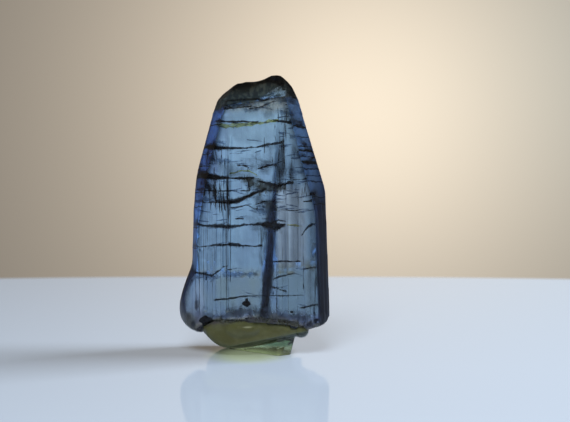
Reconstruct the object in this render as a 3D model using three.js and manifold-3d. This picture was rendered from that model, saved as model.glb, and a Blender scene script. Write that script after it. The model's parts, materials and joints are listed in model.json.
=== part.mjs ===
// A raw tanzanite crystal: a flattened, lengthwise striated prism that tapers to a broken
// roof-shaped tip, flares out at one lower corner, and stands on an olive-green lump that
// fills the hollow of its broken root. Millimetres, +Z up, the camera side is -Y.
import * as THREE from "three";
import { ConvexGeometry } from "three/addons/geometries/ConvexGeometry.js";
import { mergeVertices } from "three/addons/utils/BufferGeometryUtils.js";
import Module from "manifold-3d";

const wasm = await Module();
wasm.setup();

// Driving dimensions of the crystal
const tipHeight = 34.0; // from the surface it stands on to the highest point
const rootHeight = 2.9; // where the broken root of the crystal begins
const prismTaper = 0.0042; // how much narrower the prism gets for each millimetre of height
const taperFrom = 5.0; // the height where the profile below has its full size
const heart = new THREE.Vector3(0.5, 0, 16); // a point well inside, which every cut keeps
const spare = 2; // how far the shapes that cut, and the uncut prism, reach past the crystal

// Corners of the prism seen from above, anticlockwise from the front left edge, each with
// the number of growth ledges on the face that starts there, and their greatest depth
const prismCorners = [
  { x: -7.12, y: -3.36, ledges: 11, depth: 0.16 },
  { x: -2.7, y: -3.61, ledges: 2, depth: 0.03 },
  { x: 1.63, y: -3.86, ledges: 5, depth: 0.07 },
  { x: 4.98, y: -4.07, ledges: 7, depth: 0.11 },
  { x: 7.81, y: -4.17, ledges: 1, depth: 0.04 },
  { x: 8.34, y: -3.15, ledges: 2, depth: 0.06 },
  { x: 9.25, y: -0.41, ledges: 3, depth: 0.08 },
  { x: 9, y: 1.73, ledges: 2, depth: 0.08 },
  { x: 7.53, y: 3.25, ledges: 9, depth: 0.14 },
  { x: 2.75, y: 4.47, ledges: 0, depth: 0 },
  { x: -2.85, y: 3.56, ledges: 8, depth: 0.14 },
  { x: -7.0, y: 3.18, ledges: 1, depth: 0.05 },
  { x: -7.58, y: 1.32, ledges: 3, depth: 0.08 },
  { x: -7.79, y: -1.02, ledges: 3, depth: 0.08 },
];

// How the ledges are laid out: the run of one step as a share of the face, and the rates
// of the two waves that scatter the places and the depths of the steps
const ledgeRun = 0.024;
const ledgeWaves = { place: [2.3, 4.1], depth: [1.7, 2.6] };

// The outline of the tapering upper part, seen from the front: x, z from below to the tip
const leftOutline = [
  [-7.22, 20.9],
  [-6.9, 22.6],
  [-5.19, 28.8],
  [-4.3, 31.3],
];
const rightOutline = [
  [8.85, 19.4],
  [8.59, 20.6],
  [6.2, 28.2],
  [5.34, 31.0],
  [4.47, 32.85],
];
const outlineDepth = -0.2; // y of the edges that make that outline
const frontTurn = 27; // degrees that the tapering faces turn towards the front
const backTurn = 24; // and towards the back

// The broken tip, as planes through three points each
const tipFaces = [
  [[-4.3, 0.41, 31.3], [-2.19, 0.61, 32.95], [-3.36, -2.24, 30.9]],
  [[-4.3, 0.41, 31.3], [-2.19, 0.61, 32.95], [-3.56, 2.85, 30.6]],
  [[-2.19, 0.61, 32.95], [2.03, 0.92, 33.95], [0.31, -2.54, 31.15]],
  [[-2.19, 0.61, 32.95], [2.03, 0.92, 33.95], [0.51, 3.25, 31.6]],
  [[2.03, 0.92, 34.05], [3.15, 0.51, 34.05], [3.05, -2.75, 32.3]],
  [[3.15, 0.51, 34.05], [4.47, 0.2, 32.85], [4.17, -2.44, 31.9]],
  [[3.15, 0.51, 34.05], [4.47, 0.2, 32.85], [4.27, 3.05, 31.2]],
  [[2.03, 0.92, tipHeight], [3.15, 0.51, tipHeight], [2.5, 2.0, tipHeight]],
];

// The ridge of the tip sags between its two ends, by a shallow trough from front to back
const saddle = { x: -0.4, bottom: 33.15, radius: 4.2, length: 8 };

// Faces that lean in towards the tip on the front and the back
const leaningFaces = [
  [[-5.08, -3.41, 24.5], [5.08, -3.81, 23.5], [0, -2.8, 31.5]],
  [[-5.08, 3.25, 23.0], [5.08, 3.81, 21.0], [0, 2.95, 32.0]],
];

// Breaks at the root, on the right, under the flared foot on the left and along the back
const rootBreaks = [
  [[9.35, -3.05, 4.65], [8.75, -3.05, 3.8], [9.2, 2.03, 4.45]],
  [[8.6, -3.05, 3.85], [6.75, -3.05, 3.4], [8.3, 3.05, 3.65]],
  [[-8.6, -3.0, 3.45], [-6.7, -3.0, 2.35], [-8.2, 2.5, 3.05]],
  [[7.12, 3.3, 2.9], [-5.08, 3.2, 3.0], [0, 4.27, 3.9]],
];

// Shell-shaped scars where flakes came off: a point on the surface, the way it faces there,
// the radius of the hollow and how deep it goes
const scars = [
  { at: [-0.71, -1.42, 32.0], facing: [-0.15, -0.6, 0.8], radius: 3.4, depth: 0.3 },
  { at: [-3.46, -1.63, 31.2], facing: [-0.5, -0.5, 0.7], radius: 2.2, depth: 0.25 },
  { at: [2.64, -1.93, 32.6], facing: [0.1, -0.65, 0.75], radius: 2.0, depth: 0.22 },
  { at: [4.37, -1.22, 32.4], facing: [0.6, -0.55, 0.55], radius: 1.6, depth: 0.2 },
  { at: [-3.0, 2.4, 31.1], facing: [-0.3, 0.75, 0.6], radius: 4.0, depth: 0.3 },
  { at: [2.4, 2.5, 32.3], facing: [0.15, 0.7, 0.7], radius: 4.5, depth: 0.28 },
  { at: [8.4, 2.3, 5.2], facing: [0.75, 0.6, -0.25], radius: 3.2, depth: 0.4 },
  { at: [-6.71, -3.15, 3.1], facing: [-0.2, -0.8, -0.55], radius: 1.6, depth: 0.3 },
  { at: [7.73, -3.97, 3.6], facing: [0.15, -0.75, -0.6], radius: 1.5, depth: 0.25 },
  { at: [-7.42, 1.93, 9.5], facing: [-0.7, 0.7, 0.05], radius: 2.6, depth: 0.25 },
];

// Open cracks that cross the front: y of the hidden inner edge, then the line of the mouth
// from left to right, as x, z and how wide it gapes
const cracks = [
  { inner: -1.6, mouth: [[-4.5, 27.95, 0.12], [-2.4, 28.0, 0.42], [1.0, 28.3, 0.3], [3.2, 28.6, 0.1]] },
  { inner: -1.4, mouth: [[2.9, 28.5, 0.1], [4.4, 28.3, 0.4], [6.3, 27.9, 0.2]] },
  { inner: -1.2, mouth: [[-6.1, 25.45, 0.5], [-4.0, 25.3, 0.6], [-1.2, 25.3, 0.2], [4.0, 26.0, 0.15]] },
  { inner: -0.8, mouth: [[-7.2, 22.4, 0.8], [-5.6, 22.0, 0.9], [-3.2, 21.7, 0.3], [0.4, 21.7, 0.15]] },
  { inner: -0.6, mouth: [[0.2, 21.05, 0.15], [1.8, 20.7, 0.8], [3.1, 20.65, 1.0], [5.0, 21.15, 0.15]] },
  { inner: -0.9, mouth: [[-6.6, 18.45, 0.15], [-2.8, 18.8, 0.55], [0.2, 19.85, 0.55], [2.0, 20.55, 0.2]] },
  { inner: -1.0, mouth: [[-7.3, 15.9, 0.15], [-3.6, 15.85, 0.55], [0.6, 16.05, 0.25], [2.6, 15.85, 0.8],
    [4.0, 16.0, 0.1]] },
  { inner: -1.5, mouth: [[-7.3, 13.25, 0.1], [-3.2, 13.55, 0.4], [-0.4, 13.4, 0.2], [1.4, 13.5, 0.35]] },
  { inner: -1.6, mouth: [[-7.3, 10.2, 0.15], [-5.4, 9.85, 0.45], [-3.1, 11.1, 0.1]] },
  { inner: -1.8, mouth: [[-5.1, 6.7, 0.1], [-2.0, 7.15, 0.3], [6.1, 7.4, 0.1]] },
  { inner: -2.0, mouth: [[5.8, 14.7, 0.1], [6.7, 15.9, 0.3], [7.9, 16.95, 0.3]] },
  { inner: -1.6, mouth: [[5.7, 23.55, 0.3], [6.8, 23.8, 0.6], [7.8, 24.05, 0.3]] },
];
const mouthDepth = -4.8; // y, just in front of the crystal, where the mouths are that wide

// The flared foot at the lower left, as the corners of a convex lump
const footCorners = [
  [-7.32, -1.93, 11.4], [-7.42, 0.92, 11.2],
  [-8.38, -1.93, 8.7], [-8.42, 0.92, 8.7], [-7.22, -3.15, 8.9], [-7.37, 2.03, 8.6],
  [-8.91, -1.83, 7.1], [-8.89, 1.02, 7.1], [-7.32, -3.41, 6.6], [-7.53, 2.54, 6.8],
  [-9.25, -1.12, 5.6], [-9.2, 0.71, 5.4], [-8.34, -2.75, 5.3], [-8.34, 2.14, 5.2],
  [-9.15, -0.71, 4.2], [-8.64, 1.32, 3.9], [-8.34, -1.83, 3.4], [-7.55, -0.92, 2.35],
  [-6.31, -0.61, 2.3], [-7.22, 1.22, 2.7], [-6.61, -3.25, 3.4], [-5.59, 2.64, 3.2],
  [-5.08, -3.25, 9.5], [-5.08, 2.44, 9.5], [-5.08, -2.95, 3.2],
];

// A step on the back: the middle lies deeper, and the wall beside it leans to the right
const stepFloor = 3.15; // y of the deeper face
const stepLeft = -2.85;
const stepWall = { low: 0.55, high: 3.85, run: 1.9, rise: 2.1 };

// The olive-green lump: outline of its front seen head-on, as x, z, before it is rounded.
// Its lower edge rises to the right. The whole lump sinks towards the back, and its front
// leans back, so that its upper part lies inside the crystal.
const lumpOutline = [
  [-5.2, 3.3], [-4.65, 2.65], [-3.9, 2.15], [-3.05, 1.95], [-1.9, 1.92],
  [0.7, 2.42], [2.9, 2.88], [4.4, 3.2], [5.1, 3.3], [4.6, 3.5], [3.9, 3.65],
  [1.3, 3.9], [-1.0, 3.9], [-3.0, 3.7], [-4.4, 3.7],
];
const lumpRounding = 0.85;
const lumpFront = -4.37;
const lumpBack = 3.0;
const lumpSag = 0.16; // how much lower for each millimetre towards the back
const lumpLean = { rate: 0.34, from: 2.0 }; // how far back for each millimetre above this height
const lumpLobes = [
  { at: [5.75, -3.05, 3.0], radius: [0.95, 1.2, 0.88] },
  { at: [5.7, 0.2, 2.9], radius: [0.85, 1.9, 0.85] },
  { at: [-5.3, -2.3, 3.15], radius: [1.05, 1.4, 0.95] },
  { at: [-1.4, -3.25, 3.0], radius: [2.6, 1.3, 1.3] },
];

// The foot of the lump: a block with crisp edges, as its lower and its upper corners
const stubCorners = [
  [-3.3, 0.6, -0.3], [2.9, -3.95, -0.3], [4.35, -3.1, -0.3], [4.58, 2.44, -0.3],
  [-1.9, 2.75, -0.3], [-3.1, 0.8, 1.8], [2.9, -3.7, 2.9], [5.2, -3.0, 3.0],
  [5.2, 2.24, 2.6], [-1.9, 2.54, 2.0],
];
const seatGap = 0.15; // clearance between the lump and the crystal that sits on it

// A closed three.js geometry as a solid
function solidOf(geometry) {
  const bare = geometry.index ? geometry.toNonIndexed() : geometry.clone();
  bare.deleteAttribute("normal");
  bare.deleteAttribute("uv");
  const merged = mergeVertices(bare, 1e-4);
  return new wasm.Manifold(
    new wasm.Mesh({
      numProp: 3,
      vertProperties: new Float32Array(merged.attributes.position.array),
      triVerts: new Uint32Array(merged.index.array),
    }),
  );
}

function geometryOf(solid) {
  const mesh = solid.getMesh();
  const geometry = new THREE.BufferGeometry();
  geometry.setAttribute("position", new THREE.BufferAttribute(mesh.vertProperties, 3));
  geometry.setIndex(new THREE.BufferAttribute(mesh.triVerts, 1));
  const flat = geometry.toNonIndexed();
  flat.computeVertexNormals();
  return flat;
}

// Cuts away what lies beyond the plane through three points, seen from the heart
function cutBeyond(solid, [a, b, c]) {
  const size = 3 * tipHeight;
  const plane = new THREE.Plane().setFromCoplanarPoints(
    new THREE.Vector3(...a),
    new THREE.Vector3(...b),
    new THREE.Vector3(...c),
  );
  if (plane.distanceToPoint(heart) > 0) plane.negate();
  const block = new THREE.BoxGeometry(size, size, size);
  block.translate(0, 0, size / 2);
  block.applyQuaternion(
    new THREE.Quaternion().setFromUnitVectors(new THREE.Vector3(0, 0, 1), plane.normal),
  );
  const foot = plane.projectPoint(heart, new THREE.Vector3());
  block.translate(foot.x, foot.y, foot.z);
  return solid.subtract(solidOf(block));
}

function ellipsoid([x, y, z], [rx, ry, rz]) {
  return new THREE.SphereGeometry(1, 28, 18).scale(rx, ry, rz).translate(x, y, z);
}

// One face of the prism as growth ledges: short oblique steps in and out of the face
function ledgedFace(from, to, step) {
  const along = new THREE.Vector2(to.x - from.x, to.y - from.y);
  const inward = new THREE.Vector2(-along.y, along.x).normalize();
  const points = [new THREE.Vector2(from.x, from.y)];
  const wave = ([a, b], i) => Math.sin(step * a + i * b);
  let level = 0;
  for (let i = 1; i <= from.ledges; i++) {
    const where = (i + 0.25 * wave(ledgeWaves.place, i)) / (from.ledges + 1);
    const next = (from.depth * (1 + wave(ledgeWaves.depth, i))) / 2;
    for (const [shift, depth] of [[-ledgeRun / 2, level], [ledgeRun / 2, next]]) {
      points.push(
        new THREE.Vector2(from.x, from.y)
          .addScaledVector(along, where + shift)
          .addScaledVector(inward, depth),
      );
    }
    level = next;
  }
  return points;
}

function makePrism() {
  const outline = prismCorners.flatMap((corner, i) =>
    ledgedFace(corner, prismCorners[(i + 1) % prismCorners.length], i),
  );
  const height = tipHeight + spare - rootHeight;
  const geometry = new THREE.ExtrudeGeometry(new THREE.Shape(outline), {
    depth: height,
    bevelEnabled: false,
  }).translate(0, 0, rootHeight);
  const position = geometry.attributes.position;
  for (let i = 0; i < position.count; i++) {
    const share = 1 - prismTaper * (position.getZ(i) - taperFrom);
    position.setXY(i, position.getX(i) * share, position.getY(i) * share);
  }
  return solidOf(geometry);
}

// Both faces that meet along one stretch of the outline, turned to the front and the back
function taperFaces(outline, side) {
  const faces = [];
  for (let i = 0; i + 1 < outline.length; i++) {
    const [x1, z1] = outline[i];
    const [x2, z2] = outline[i + 1];
    for (const [turn, way] of [[frontTurn, -1], [backTurn, 1]]) {
      const inward = -side * Math.tan(THREE.MathUtils.degToRad(turn));
      faces.push([
        [x1, outlineDepth, z1],
        [x2, outlineDepth, z2],
        [x1 + inward, outlineDepth + way, z1],
      ]);
    }
  }
  return faces;
}

function makeStep() {
  const { low, high, run, rise } = stepWall;
  const below = rootHeight - spare;
  const above = tipHeight + spare;
  const corners = [
    [stepLeft, stepFloor, below], [low, stepFloor, below],
    [low + run, stepFloor + rise, below], [stepLeft, stepFloor + rise, below],
    [stepLeft, stepFloor, above], [high, stepFloor, above],
    [high + run, stepFloor + rise, above], [stepLeft, stepFloor + rise, above],
  ];
  return solidOf(new ConvexGeometry(corners.map((c) => new THREE.Vector3(...c))));
}

function makeTrough() {
  const { x, bottom, radius, length } = saddle;
  return solidOf(
    new THREE.CylinderGeometry(radius, radius, length, 48).translate(x, 0, bottom + radius),
  );
}

function makeScoop({ at, facing, radius, depth }) {
  const way = new THREE.Vector3(...facing).normalize();
  const centre = new THREE.Vector3(...at).addScaledVector(way, radius - depth);
  return solidOf(ellipsoid(centre.toArray(), [radius, radius, radius]));
}

// A crack as a row of wedges, open at the front and closed along its inner edge
function makeCrack({ inner, mouth }) {
  let crack = null;
  for (let i = 0; i + 1 < mouth.length; i++) {
    const corners = mouth.slice(i, i + 2).flatMap(([x, z, gape]) => [
      new THREE.Vector3(x, mouthDepth, z - gape / 2),
      new THREE.Vector3(x, mouthDepth, z + gape / 2),
      new THREE.Vector3(x, inner, z),
    ]);
    const wedge = solidOf(new ConvexGeometry(corners));
    crack = crack ? crack.add(wedge) : wedge;
  }
  return crack;
}

// The lump, grown by the given amount all round
function makeLump(grow) {
  const outline = new THREE.CatmullRomCurve3(
    lumpOutline.map(([x, z]) => new THREE.Vector3(x, z, 0)),
    true,
  ).getPoints(44);
  outline.pop();
  const pillow = new THREE.ExtrudeGeometry(
    new THREE.Shape(outline.map((p) => new THREE.Vector2(p.x, p.y))),
    {
      depth: lumpBack - lumpFront - 2 * lumpRounding,
      bevelSize: lumpRounding + grow,
      bevelThickness: lumpRounding + grow,
      bevelSegments: 4,
    },
  )
    .translate(0, 0, lumpFront + lumpRounding)
    .rotateX(Math.PI / 2)
    .scale(1, -1, 1)
    .applyMatrix4(new THREE.Matrix4().makeShear(0, 0, 0, -lumpSag, 0, lumpLean.rate))
    .translate(0, -lumpLean.rate * lumpLean.from, lumpSag * lumpFront);
  let lump = solidOf(flipFaces(pillow));
  for (const { at, radius } of lumpLobes) {
    lump = lump.add(solidOf(ellipsoid(at, radius.map((r) => r + grow))));
  }
  return lump;
}

// A mirrored geometry faces inwards, so each triangle is turned round
function flipFaces(geometry) {
  const p = geometry.attributes.position.array;
  for (let i = 0; i < p.length; i += 9) {
    for (let k = 0; k < 3; k++) [p[i + 3 + k], p[i + 6 + k]] = [p[i + 6 + k], p[i + 3 + k]];
  }
  return geometry;
}

function makeCrystal() {
  const foot = new ConvexGeometry(footCorners.map((c) => new THREE.Vector3(...c)));
  let crystal = makePrism();
  crystal = crystal.subtract(makeStep());
  for (const face of [
    ...taperFaces(leftOutline, -1),
    ...taperFaces(rightOutline, 1),
    ...leaningFaces,
    ...tipFaces,
  ]) {
    crystal = cutBeyond(crystal, face);
  }
  crystal = crystal.add(solidOf(foot));
  for (const face of rootBreaks) crystal = cutBeyond(crystal, face);
  crystal = crystal.subtract(makeTrough());
  for (const scar of scars) crystal = crystal.subtract(makeScoop(scar));
  for (const crack of cracks) crystal = crystal.subtract(makeCrack(crack));
  return crystal.subtract(makeLump(seatGap));
}

function makeBase() {
  const stub = new ConvexGeometry(stubCorners.map((c) => new THREE.Vector3(...c)));
  const floor = [[0, 0, 0], [1, 0, 0], [0, 1, 0]];
  return cutBeyond(makeLump(0).add(solidOf(stub)), floor);
}

const crystalSolid = makeCrystal();
const baseSolid = makeBase();

const crystal = new THREE.Mesh(
  geometryOf(crystalSolid),
  new THREE.MeshStandardMaterial({ color: 0x7290ae, roughness: 0.08, metalness: 0 }),
);
crystal.name = "crystal";

const base = new THREE.Mesh(
  geometryOf(baseSolid),
  new THREE.MeshStandardMaterial({ color: 0x5d6449, roughness: 0.35, metalness: 0 }),
);
base.name = "base";

// The frame's origin is the middle of the object's footprint, on the surface it stands on
const group = new THREE.Group();
group.add(crystal, base);
const bounds = new THREE.Box3().setFromObject(group);
group.position.set(
  -(bounds.min.x + bounds.max.x) / 2,
  -(bounds.min.y + bounds.max.y) / 2,
  -bounds.min.z,
);

export default group;
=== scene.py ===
import json
import math
import random
import bpy
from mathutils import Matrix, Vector, noise

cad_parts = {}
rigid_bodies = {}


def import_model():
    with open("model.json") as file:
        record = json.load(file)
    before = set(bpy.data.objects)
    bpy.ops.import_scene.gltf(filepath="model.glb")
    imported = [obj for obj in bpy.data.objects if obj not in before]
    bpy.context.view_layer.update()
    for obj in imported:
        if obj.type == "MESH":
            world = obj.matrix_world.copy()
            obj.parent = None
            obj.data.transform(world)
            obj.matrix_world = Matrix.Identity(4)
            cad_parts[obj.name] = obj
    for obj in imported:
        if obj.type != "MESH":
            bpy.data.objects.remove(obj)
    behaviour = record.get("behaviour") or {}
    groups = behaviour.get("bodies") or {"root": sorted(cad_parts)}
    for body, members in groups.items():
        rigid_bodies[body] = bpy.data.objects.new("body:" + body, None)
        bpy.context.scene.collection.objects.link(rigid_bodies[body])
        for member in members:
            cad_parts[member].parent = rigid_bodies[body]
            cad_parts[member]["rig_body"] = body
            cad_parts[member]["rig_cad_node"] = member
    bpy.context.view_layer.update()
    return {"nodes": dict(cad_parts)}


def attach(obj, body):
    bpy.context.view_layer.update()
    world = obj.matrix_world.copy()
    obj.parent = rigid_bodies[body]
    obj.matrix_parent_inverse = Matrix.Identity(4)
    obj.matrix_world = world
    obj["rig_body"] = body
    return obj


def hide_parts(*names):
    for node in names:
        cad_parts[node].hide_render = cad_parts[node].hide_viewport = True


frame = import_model()
scene = bpy.context.scene
mm = 0.001
print("frame loaded:", sorted(frame["nodes"]))


# small helpers for nodes and operators

def addNode(tree, kind, inputs=None, **settings):
    made = tree.nodes.new(kind)
    for name, value in settings.items():
        setattr(made, name, value)
    for name, value in (inputs or {}).items():
        if isinstance(value, bpy.types.NodeSocket):
            tree.links.new(value, made.inputs[name])
        else:
            made.inputs[name].default_value = value
    return made


def newMaterial(name):
    material = bpy.data.materials.new(name)
    material.use_nodes = True
    tree = material.node_tree
    return material, tree, tree.nodes["Principled BSDF"]


def inMillimetres(tree):
    place = addNode(tree, "ShaderNodeTexCoord")
    return place, addNode(tree, "ShaderNodeVectorMath", {0: place.outputs["Object"], 3: 1000.0},
                          operation="SCALE").outputs[0]


def stretched(tree, vector, scale):
    return addNode(tree, "ShaderNodeVectorMath", {0: vector, 1: scale}, operation="MULTIPLY").outputs[0]


def ramp(tree, value, low, high, toLow=0.0, toHigh=1.0):
    return addNode(tree, "ShaderNodeMapRange", {
        "Value": value, "From Min": low, "From Max": high, "To Min": toLow, "To Max": toHigh,
    }, interpolation_type="SMOOTHSTEP").outputs["Result"]


def maths(tree, operation, *values):
    return addNode(tree, "ShaderNodeMath", dict(enumerate(values)), operation=operation).outputs[0]


def grain(tree, at, scale, detail):
    return addNode(tree, "ShaderNodeTexNoise", {"Vector": stretched(tree, at, scale), "Scale": 1.0,
                                                "Detail": detail, "Roughness": 0.6}).outputs["Fac"]


def tinted(tree, share, first, second, blend="MIX"):
    return addNode(tree, "ShaderNodeMix", {"Factor": share, 6: first, 7: second},
                   data_type="RGBA", blend_type=blend).outputs[2]


def pick(thing):
    bpy.ops.object.select_all(action="DESELECT")
    thing.select_set(True)
    bpy.context.view_layer.objects.active = thing


def applyModifier(thing, kind, name, **settings):
    pick(thing)
    modifier = thing.modifiers.new(name, kind)
    for key, value in settings.items():
        setattr(modifier, key, value)
    bpy.ops.object.modifier_apply(modifier=modifier.name)


def evenOut(thing, voxel):
    applyModifier(thing, "REMESH", "evenMesh", mode="VOXEL", voxel_size=voxel * mm, adaptivity=0)


def copyOfNode(node, name):
    source = frame["nodes"][node]
    piece = source.copy()
    piece.data = source.data.copy()
    piece.name = name
    piece.data.name = name
    piece.parent = None
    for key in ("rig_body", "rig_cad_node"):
        del piece[key]
    piece.data.materials.clear()
    scene.collection.objects.link(piece)
    pick(piece)
    bpy.ops.object.mode_set(mode="EDIT")
    bpy.ops.mesh.select_all(action="SELECT")
    bpy.ops.mesh.remove_doubles(threshold=0.002 * mm)
    bpy.ops.object.mode_set(mode="OBJECT")
    return piece


# camera, at the photo's height and distance

cameraView = {
    "lens": 85,
    "sensor": 36,
    "distance": 167.8,     # mm, to the middle of the base
    "pitch": 5.0,          # degrees looking down
    "frame": (570, 422),   # the photo's frame in pixels
    "stands": (254.8, 350.0),  # where the foot of the crystal stands in it
}


def makeCamera(view):
    focal = view["lens"] / view["sensor"] * view["frame"][0]
    right = (view["stands"][0] - view["frame"][0] / 2) / focal
    down = (view["stands"][1] - view["frame"][1] / 2) / focal
    pitch = math.radians(view["pitch"])
    ahead = Vector((0, math.cos(pitch), -math.sin(pitch)))
    upward = Vector((0, math.sin(pitch), math.cos(pitch)))
    place = -(ahead + right * Vector((1, 0, 0)) - down * upward) * view["distance"] * mm
    bpy.ops.object.camera_add(location=place, rotation=(math.pi / 2 - pitch, 0, 0))
    camera = bpy.context.object
    camera.name = "photoCamera"
    camera.data.lens = view["lens"]
    camera.data.sensor_width = view["sensor"]
    camera.data.clip_start = 0.005
    scene.camera = camera


# pale polished floor, whose far edge lies a little behind the crystal

floorLook = {
    "radius": 420,        # mm
    "farEdge": 70,        # mm behind the crystal
    "thickness": 12,
    "color": (0.43, 0.51, 0.62, 1),
    "roughness": 0.07,
    "ior": 1.85,
    "softEdge": 5,        # mm over which the far edge fades
    # painted light on the floor where green light would fall through the lump: a darker green tint as painted shadow
    # and a faint painted glow; middle and half size in mm, then their colours
    "paintedLightPatch": ((-0.7, -3.4), (4.6, 5.0)),
    "paintedShadowTint": (0.26, 0.31, 0.25, 1),
    "paintedGlow": (0.175, 0.21, 0.135, 1),
}


def makeFloor(look):
    bpy.ops.mesh.primitive_cylinder_add(
        vertices=256,
        radius=look["radius"] * mm,
        depth=look["thickness"] * mm,
        location=(0, (look["farEdge"] - look["radius"]) * mm, -look["thickness"] / 2 * mm),
    )
    floor = bpy.context.object
    floor.name = "floor"
    bpy.ops.object.transform_apply(location=True, rotation=True, scale=True)
    material, tree, shader = newMaterial("polishedFloor")
    shader.inputs["Roughness"].default_value = look["roughness"]
    shader.inputs["IOR"].default_value = look["ior"]
    _, at = inMillimetres(tree)
    (litX, litY), (wide, deep) = look["paintedLightPatch"]
    apart = addNode(tree, "ShaderNodeVectorMath", {0: stretched(tree, at, (1 / wide, 1 / deep, 0)),
                                                   1: (litX / wide, litY / deep, 0)}, operation="DISTANCE")
    # painted shadow and glow where light would fall through the lump
    paintedLightPatch = ramp(tree, apart.outputs["Value"], 1.35, 0.35)
    tree.links.new(tinted(tree, paintedLightPatch, look["color"], look["paintedShadowTint"]), shader.inputs["Base Color"])
    tree.links.new(tinted(tree, paintedLightPatch, (0, 0, 0, 1), look["paintedGlow"]), shader.inputs["Emission Color"])
    shader.inputs["Emission Strength"].default_value = 1
    centre = (0, look["radius"] - look["farEdge"], 0)
    out = addNode(tree, "ShaderNodeVectorMath", {0: addNode(
        tree, "ShaderNodeVectorMath", {0: at, 1: centre}, operation="ADD").outputs[0]}, operation="LENGTH")
    fade = ramp(tree, out.outputs["Value"], look["radius"], look["radius"] - look["softEdge"])
    tree.links.new(fade, shader.inputs["Alpha"])
    floor.data.materials.append(material)


# the studio: a warm glow on the wall behind, weaker ones on the other three sides, dim between

studioLook = {
    "dim": (0.035, 0.034, 0.036, 1),
    # each glow: where it is, how wide in degrees, and its color
    "glows": [
        ((0.058, 1.0, -0.012), 9.6, (0.90, 0.755, 0.575, 1)),
        ((0.24, 1.0, 0.02), 8, (0.02, 0.07, 0.09, 1)),
        ((0.0, -1.0, 0.05), 22, (0.34, 0.31, 0.27, 1)),
        ((1.0, 0.0, 0.05), 13, (0.26, 0.23, 0.20, 1)),
        ((-1.0, 0.0, 0.05), 13, (0.26, 0.23, 0.20, 1)),
    ],
}


def makeStudio(look):
    world = bpy.data.worlds.new("studio")
    scene.world = world
    world.use_nodes = True
    tree = world.node_tree
    tree.nodes.clear()
    way = addNode(tree, "ShaderNodeTexCoord").outputs["Generated"]
    total = addNode(tree, "ShaderNodeRGB").outputs[0]
    total.default_value = look["dim"]
    for place, width, color in look["glows"]:
        toward = Vector(place).normalized()
        along = addNode(tree, "ShaderNodeVectorMath", {0: way, 1: toward}, operation="DOT_PRODUCT")
        fall = 2 / math.radians(width) ** 2
        below = addNode(tree, "ShaderNodeMath", {0: along.outputs["Value"], 1: -fall, 2: fall + 1},
                        operation="MULTIPLY_ADD")
        share = addNode(tree, "ShaderNodeMath", {0: 1.0, 1: below.outputs[0]}, operation="DIVIDE")
        glow = addNode(tree, "ShaderNodeMix", {"Factor": share.outputs[0], 6: total, 7: color},
                       data_type="RGBA", blend_type="ADD")
        total = glow.outputs[2]
    sky = addNode(tree, "ShaderNodeBackground", {"Color": total, "Strength": 1.0})
    out = addNode(tree, "ShaderNodeOutputWorld")
    tree.links.new(sky.outputs[0], out.inputs["Surface"])
    scene.view_settings.view_transform = "Standard"


lampLook = {
    "front": {"place": (-60, -330, 420), "size": 240, "power": 2.4, "color": (0.94, 0.97, 1.0)},
    "rear": {"place": (290, 60, 200), "size": 150, "power": 2.3, "color": (0.95, 0.97, 1.0)},
}


def makeLamps(looks):
    for name, look in looks.items():
        place = Vector(look["place"]) * mm
        aim = (Vector((0, 0, 0.01)) - place).to_track_quat("-Z", "Y").to_euler()
        bpy.ops.object.light_add(type="AREA", location=place, rotation=aim)
        lamp = bpy.context.object
        lamp.name = name + "Lamp"
        lamp.data.size = look["size"] * mm
        lamp.data.energy = look["power"]
        lamp.data.color = look["color"]
        lamp.visible_transmission = False
        lamp.visible_glossy = False


# the tanzanite itself

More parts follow.
